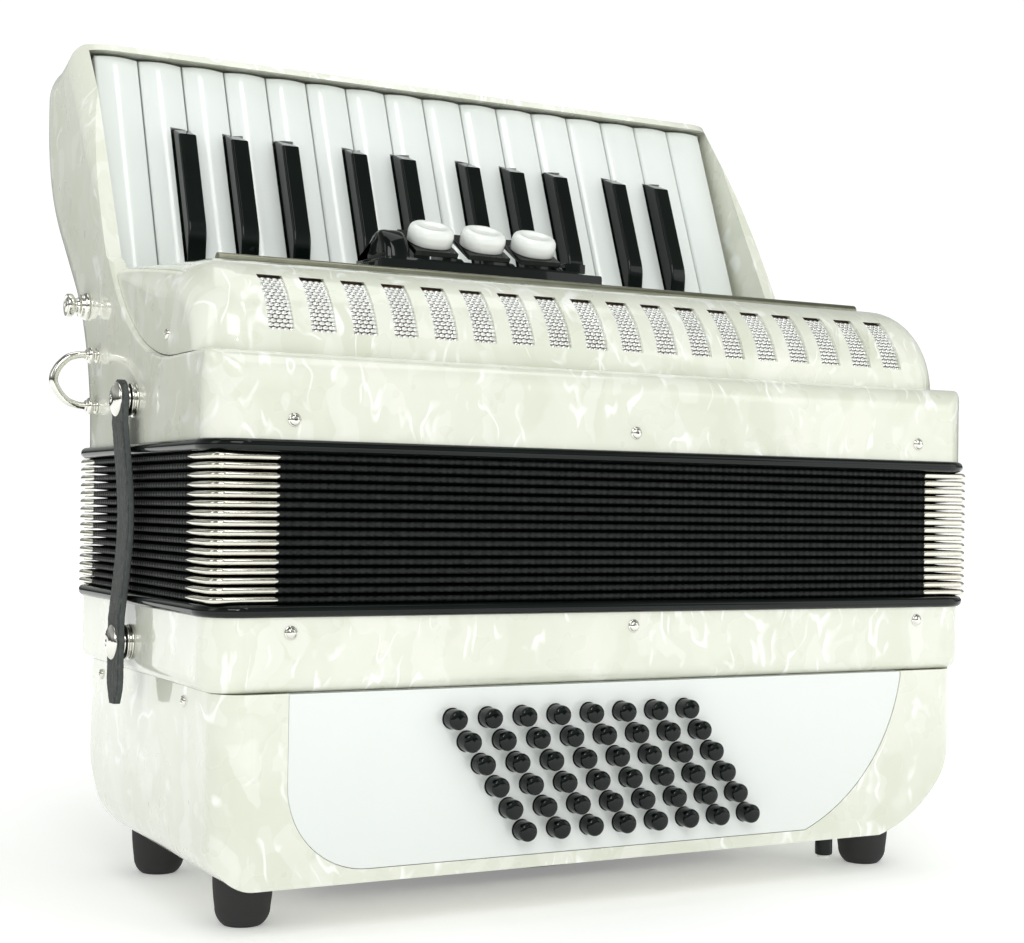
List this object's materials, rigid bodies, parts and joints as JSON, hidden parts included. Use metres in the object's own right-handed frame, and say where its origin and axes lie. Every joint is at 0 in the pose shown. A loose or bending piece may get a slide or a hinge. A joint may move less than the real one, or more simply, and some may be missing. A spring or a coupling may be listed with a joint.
{
  "type": "piano accordion",
  "caption": "Small piano accordion standing on its bass end: leaning keyboard, slotted grille, register switches, pleated bellows, slanted bass button field.",
  "frame": {"origin": "on the ground under the middle of the instrument as it stands on its bass end", "axes": "+X along the keyboard towards its high notes, -Y towards the grille, +Y towards the player, +Z from the bass end up to the treble end"},
  "size_m": [0.36, 0.2473, 0.3353],
  "materials": {
    "pearloid": "ivory pearloid celluloid, polished",
    "white_gloss": "cool white gloss lacquer",
    "key_white": "polished white key tops",
    "key_black": "polished black",
    "switch_white": "ivory white oval on a black paddle",
    "button_black": "gloss black",
    "foot_rubber": "satin black",
    "bead_black": "gloss black moulding over wood",
    "bellows_leatherette": "black leatherette pleats, nickel corners",
    "strap_suede": "dark grey suede",
    "strap_leather": "black grained leather",
    "chrome_fittings": "polished nickel",
    "axle_steel": "bright steel rod",
    "mesh_metal": "bright basket-weave mesh",
    "trim_metal": "satin grey metal",
    "bare_wood": "plain unfinished wood"
  },
  "bodies": {
    "bass_section": {"bass_shell": "pearloid", "bass_frame": "pearloid", "bass_button_panel": "white_gloss", "bass_stem_guide": "bare_wood", "bass_feet": "foot_rubber", "hand_strap": "strap_leather", "bass_fittings": "chrome_fittings", "bass_reed_unit": "bare_wood", "bellows_frame_bass": "bead_black", "bellows_folds": "bellows_leatherette"},
    "treble_section": {"bellows_frame_treble": "bead_black", "treble_case": "pearloid", "treble_soundboard": "bare_wood", "treble_reed_blocks": "bare_wood", "treble_grille": "pearloid", "grille_mesh": "mesh_metal", "grille_trim": "trim_metal", "key_bed": "bare_wood", "key_axle": "axle_steel", "register_base": "key_black", "treble_fittings": "chrome_fittings", "strap_loops": "chrome_fittings"},
    "white_key_01": {"white_key_01": "key_white"},
    "white_key_02": {"white_key_02": "key_white"},
    "white_key_03": {"white_key_03": "key_white"},
    "white_key_04": {"white_key_04": "key_white"},
    "white_key_05": {"white_key_05": "key_white"},
    "white_key_06": {"white_key_06": "key_white"},
    "white_key_07": {"white_key_07": "key_white"},
    "white_key_08": {"white_key_08": "key_white"},
    "white_key_09": {"white_key_09": "key_white"},
    "white_key_10": {"white_key_10": "key_white"},
    "white_key_11": {"white_key_11": "key_white"},
    "white_key_12": {"white_key_12": "key_white"},
    "white_key_13": {"white_key_13": "key_white"},
    "white_key_14": {"white_key_14": "key_white"},
    "white_key_15": {"white_key_15": "key_white"},
    "white_key_16": {"white_key_16": "key_white"},
    "black_key_01": {"black_key_01": "key_black"},
    "black_key_02": {"black_key_02": "key_black"},
    "black_key_03": {"black_key_03": "key_black"},
    "black_key_04": {"black_key_04": "key_black"},
    "black_key_05": {"black_key_05": "key_black"},
    "black_key_06": {"black_key_06": "key_black"},
    "black_key_07": {"black_key_07": "key_black"},
    "black_key_08": {"black_key_08": "key_black"},
    "black_key_09": {"black_key_09": "key_black"},
    "black_key_10": {"black_key_10": "key_black"},
    "register_switch_1": {"register_switch_1": "switch_white"},
    "register_switch_2": {"register_switch_2": "switch_white"},
    "register_switch_3": {"register_switch_3": "switch_white"},
    "counterbass_row": {"counterbass_buttons": "button_black"},
    "fundamental_row": {"fundamental_buttons": "button_black"},
    "major_row": {"major_buttons": "button_black"},
    "minor_row": {"minor_buttons": "button_black"},
    "seventh_row": {"seventh_buttons": "button_black"},
    "diminished_row": {"diminished_buttons": "button_black"},
    "air_release": {"air_button": "button_black"},
    "bellows_strap_left": {"bellows_strap_left": "strap_suede"},
    "bellows_strap_right": {"bellows_strap_right": "strap_suede"}
  },
  "joints": [
    {"name": "bellows_open", "type": "slide", "parent": "bass_section", "child": "treble_section", "axis": [0, 0, 1], "range_m": [0, 0.26], "deforming": ["bellows_folds"]},
    {"name": "white_key_01_press", "type": "hinge", "parent": "treble_section", "child": "white_key_01", "pos_m": [0, 0.0366, 0.2244], "axis": [-1, 0, 0], "range_deg": [0, 2.4], "stiffness_Nm_per_rad": 1.2, "springref_deg": -4.58},
    {"name": "white_key_02_press", "type": "hinge", "parent": "treble_section", "child": "white_key_02", "pos_m": [0, 0.0366, 0.2244], "axis": [-1, 0, 0], "range_deg": [0, 2.4], "stiffness_Nm_per_rad": 1.2, "springref_deg": -4.58},
    {"name": "white_key_03_press", "type": "hinge", "parent": "treble_section", "child": "white_key_03", "pos_m": [0, 0.0366, 0.2244], "axis": [-1, 0, 0], "range_deg": [0, 2.4], "stiffness_Nm_per_rad": 1.2, "springref_deg": -4.58},
    {"name": "white_key_04_press", "type": "hinge", "parent": "treble_section", "child": "white_key_04", "pos_m": [0, 0.0366, 0.2244], "axis": [-1, 0, 0], "range_deg": [0, 2.4], "stiffness_Nm_per_rad": 1.2, "springref_deg": -4.58},
    {"name": "white_key_05_press", "type": "hinge", "parent": "treble_section", "child": "white_key_05", "pos_m": [0, 0.0366, 0.2244], "axis": [-1, 0, 0], "range_deg": [0, 2.4], "stiffness_Nm_per_rad": 1.2, "springref_deg": -4.58},
    {"name": "white_key_06_press", "type": "hinge", "parent": "treble_section", "child": "white_key_06", "pos_m": [0, 0.0366, 0.2244], "axis": [-1, 0, 0], "range_deg": [0, 2.4], "stiffness_Nm_per_rad": 1.2, "springref_deg": -4.58},
    {"name": "white_key_07_press", "type": "hinge", "parent": "treble_section", "child": "white_key_07", "pos_m": [0, 0.0366, 0.2244], "axis": [-1, 0, 0], "range_deg": [0, 2.4], "stiffness_Nm_per_rad": 1.2, "springref_deg": -4.58},
    {"name": "white_key_08_press", "type": "hinge", "parent": "treble_section", "child": "white_key_08", "pos_m": [0, 0.0366, 0.2244], "axis": [-1, 0, 0], "range_deg": [0, 2.4], "stiffness_Nm_per_rad": 1.2, "springref_deg": -4.58},
    {"name": "white_key_09_press", "type": "hinge", "parent": "treble_section", "child": "white_key_09", "pos_m": [0, 0.0366, 0.2244], "axis": [-1, 0, 0], "range_deg": [0, 2.4], "stiffness_Nm_per_rad": 1.2, "springref_deg": -4.58},
    {"name": "white_key_10_press", "type": "hinge", "parent": "treble_section", "child": "white_key_10", "pos_m": [0, 0.0366, 0.2244], "axis": [-1, 0, 0], "range_deg": [0, 2.4], "stiffness_Nm_per_rad": 1.2, "springref_deg": -4.58},
    {"name": "white_key_11_press", "type": "hinge", "parent": "treble_section", "child": "white_key_11", "pos_m": [0, 0.0366, 0.2244], "axis": [-1, 0, 0], "range_deg": [0, 2.4], "stiffness_Nm_per_rad": 1.2, "springref_deg": -4.58},
    {"name": "white_key_12_press", "type": "hinge", "parent": "treble_section", "child": "white_key_12", "pos_m": [0, 0.0366, 0.2244], "axis": [-1, 0, 0], "range_deg": [0, 2.4], "stiffness_Nm_per_rad": 1.2, "springref_deg": -4.58},
    {"name": "white_key_13_press", "type": "hinge", "parent": "treble_section", "child": "white_key_13", "pos_m": [0, 0.0366, 0.2244], "axis": [-1, 0, 0], "range_deg": [0, 2.4], "stiffness_Nm_per_rad": 1.2, "springref_deg": -4.58},
    {"name": "white_key_14_press", "type": "hinge", "parent": "treble_section", "child": "white_key_14", "pos_m": [0, 0.0366, 0.2244], "axis": [-1, 0, 0], "range_deg": [0, 2.4], "stiffness_Nm_per_rad": 1.2, "springref_deg": -4.58},
    {"name": "white_key_15_press", "type": "hinge", "parent": "treble_section", "child": "white_key_15", "pos_m": [0, 0.0366, 0.2244], "axis": [-1, 0, 0], "range_deg": [0, 2.4], "stiffness_Nm_per_rad": 1.2, "springref_deg": -4.58},
    {"name": "white_key_16_press", "type": "hinge", "parent": "treble_section", "child": "white_key_16", "pos_m": [0, 0.0366, 0.2244], "axis": [-1, 0, 0], "range_deg": [0, 2.4], "stiffness_Nm_per_rad": 1.2, "springref_deg": -4.58},
    {"name": "black_key_01_press", "type": "hinge", "parent": "treble_section", "child": "black_key_01", "pos_m": [0, 0.0366, 0.2244], "axis": [-1, 0, 0], "range_deg": [0, 2.4], "stiffness_Nm_per_rad": 1.2, "springref_deg": -4.58},
    {"name": "black_key_02_press", "type": "hinge", "parent": "treble_section", "child": "black_key_02", "pos_m": [0, 0.0366, 0.2244], "axis": [-1, 0, 0], "range_deg": [0, 2.4], "stiffness_Nm_per_rad": 1.2, "springref_deg": -4.58},
    {"name": "black_key_03_press", "type": "hinge", "parent": "treble_section", "child": "black_key_03", "pos_m": [0, 0.0366, 0.2244], "axis": [-1, 0, 0], "range_deg": [0, 2.4], "stiffness_Nm_per_rad": 1.2, "springref_deg": -4.58},
    {"name": "black_key_04_press", "type": "hinge", "parent": "treble_section", "child": "black_key_04", "pos_m": [0, 0.0366, 0.2244], "axis": [-1, 0, 0], "range_deg": [0, 2.4], "stiffness_Nm_per_rad": 1.2, "springref_deg": -4.58},
    {"name": "black_key_05_press", "type": "hinge", "parent": "treble_section", "child": "black_key_05", "pos_m": [0, 0.0366, 0.2244], "axis": [-1, 0, 0], "range_deg": [0, 2.4], "stiffness_Nm_per_rad": 1.2, "springref_deg": -4.58},
    {"name": "black_key_06_press", "type": "hinge", "parent": "treble_section", "child": "black_key_06", "pos_m": [0, 0.0366, 0.2244], "axis": [-1, 0, 0], "range_deg": [0, 2.4], "stiffness_Nm_per_rad": 1.2, "springref_deg": -4.58},
    {"name": "black_key_07_press", "type": "hinge", "parent": "treble_section", "child": "black_key_07", "pos_m": [0, 0.0366, 0.2244], "axis": [-1, 0, 0], "range_deg": [0, 2.4], "stiffness_Nm_per_rad": 1.2, "springref_deg": -4.58},
    {"name": "black_key_08_press", "type": "hinge", "parent": "treble_section", "child": "black_key_08", "pos_m": [0, 0.0366, 0.2244], "axis": [-1, 0, 0], "range_deg": [0, 2.4], "stiffness_Nm_per_rad": 1.2, "springref_deg": -4.58},
    {"name": "black_key_09_press", "type": "hinge", "parent": "treble_section", "child": "black_key_09", "pos_m": [0, 0.0366, 0.2244], "axis": [-1, 0, 0], "range_deg": [0, 2.4], "stiffness_Nm_per_rad": 1.2, "springref_deg": -4.58},
    {"name": "black_key_10_press", "type": "hinge", "parent": "treble_section", "child": "black_key_10", "pos_m": [0, 0.0366, 0.2244], "axis": [-1, 0, 0], "range_deg": [0, 2.4], "stiffness_Nm_per_rad": 1.2, "springref_deg": -4.58},
    {"name": "register_switch_1_press", "type": "hinge", "parent": "treble_section", "child": "register_switch_1", "pos_m": [-0.0518, -0.0485, 0.2424], "axis": [-1, 0, 0], "range_deg": [0, 6]},
    {"name": "register_switch_2_press", "type": "hinge", "parent": "treble_section", "child": "register_switch_2", "pos_m": [-0.0294, -0.0485, 0.2424], "axis": [-1, 0, 0], "range_deg": [0, 6]},
    {"name": "register_switch_3_press", "type": "hinge", "parent": "treble_section", "child": "register_switch_3", "pos_m": [-0.007, -0.0485, 0.2424], "axis": [-1, 0, 0], "range_deg": [0, 6]},
    {"name": "counterbass_press", "type": "slide", "parent": "bass_section", "child": "counterbass_row", "axis": [0, 1, 0], "range_m": [0, 0.0035], "stiffness_N_per_m": 200, "springref_m": -0.004},
    {"name": "fundamental_press", "type": "slide", "parent": "bass_section", "child": "fundamental_row", "axis": [0, 1, 0], "range_m": [0, 0.0035], "stiffness_N_per_m": 200, "springref_m": -0.004},
    {"name": "major_press", "type": "slide", "parent": "bass_section", "child": "major_row", "axis": [0, 1, 0], "range_m": [0, 0.0035], "stiffness_N_per_m": 200, "springref_m": -0.004},
    {"name": "minor_press", "type": "slide", "parent": "bass_section", "child": "minor_row", "axis": [0, 1, 0], "range_m": [0, 0.0035], "stiffness_N_per_m": 200, "springref_m": -0.004},
    {"name": "seventh_press", "type": "slide", "parent": "bass_section", "child": "seventh_row", "axis": [0, 1, 0], "range_m": [0, 0.0035], "stiffness_N_per_m": 200, "springref_m": -0.004},
    {"name": "diminished_press", "type": "slide", "parent": "bass_section", "child": "diminished_row", "axis": [0, 1, 0], "range_m": [0, 0.0035], "stiffness_N_per_m": 200, "springref_m": -0.004},
    {"name": "air_press", "type": "slide", "parent": "bass_section", "child": "air_release", "axis": [0, 0, 1], "range_m": [0, 0.006], "stiffness_N_per_m": 250, "springref_m": -0.005},
    {"name": "bellows_strap_left_swing", "type": "hinge", "parent": "treble_section", "child": "bellows_strap_left", "pos_m": [-0.165, -0.0285, 0.1815], "axis": [1, 0, 0], "range_deg": [-60, 60]},
    {"name": "bellows_strap_right_swing", "type": "hinge", "parent": "treble_section", "child": "bellows_strap_right", "pos_m": [0.165, -0.0285, 0.1815], "axis": [1, 0, 0], "range_deg": [-60, 60]}
  ]
}
